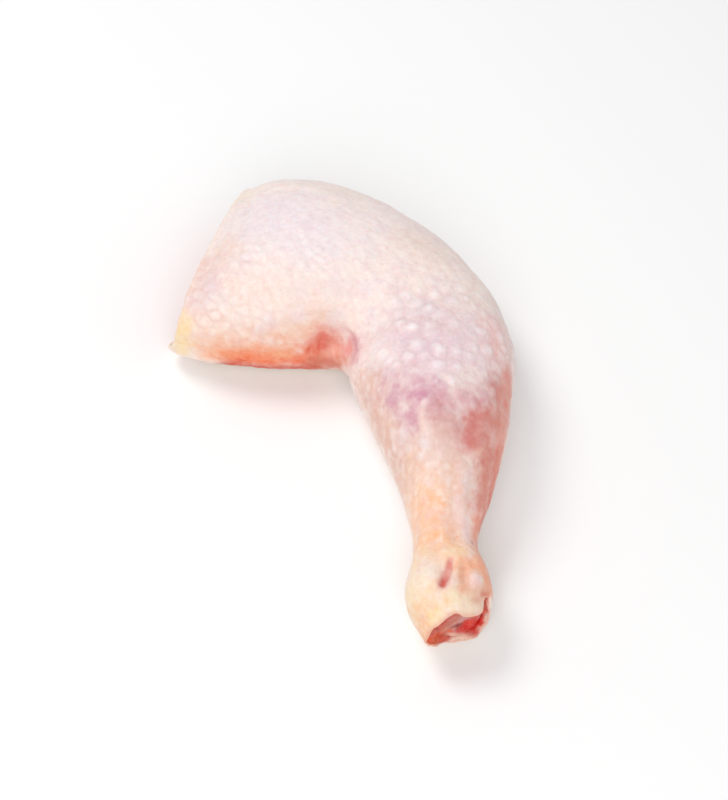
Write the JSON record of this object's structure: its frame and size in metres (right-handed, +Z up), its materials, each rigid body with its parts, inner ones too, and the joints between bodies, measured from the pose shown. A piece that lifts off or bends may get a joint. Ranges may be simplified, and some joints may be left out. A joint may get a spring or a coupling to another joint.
{
  "type": "raw chicken leg",
  "caption": "Raw chicken leg, thigh and drumstick in one piece with the skin on, lying on its meat side with the skin side up.",
  "frame": {"origin": "centre of the bounding box at its base, on the surface that the leg lies on", "axes": "+Z up from the meat side to the skin side, +Y from the hock cut towards the thigh, +X towards the outer side of the knee"},
  "size_m": [0.1316, 0.2078, 0.05],
  "materials": {
    "skin": "satin",
    "meat": "satin",
    "bone": "satin"
  },
  "bodies": {
    "root": {"skin": "skin", "meat": "meat", "shank_bone": "bone"}
  },
  "joints": []
}
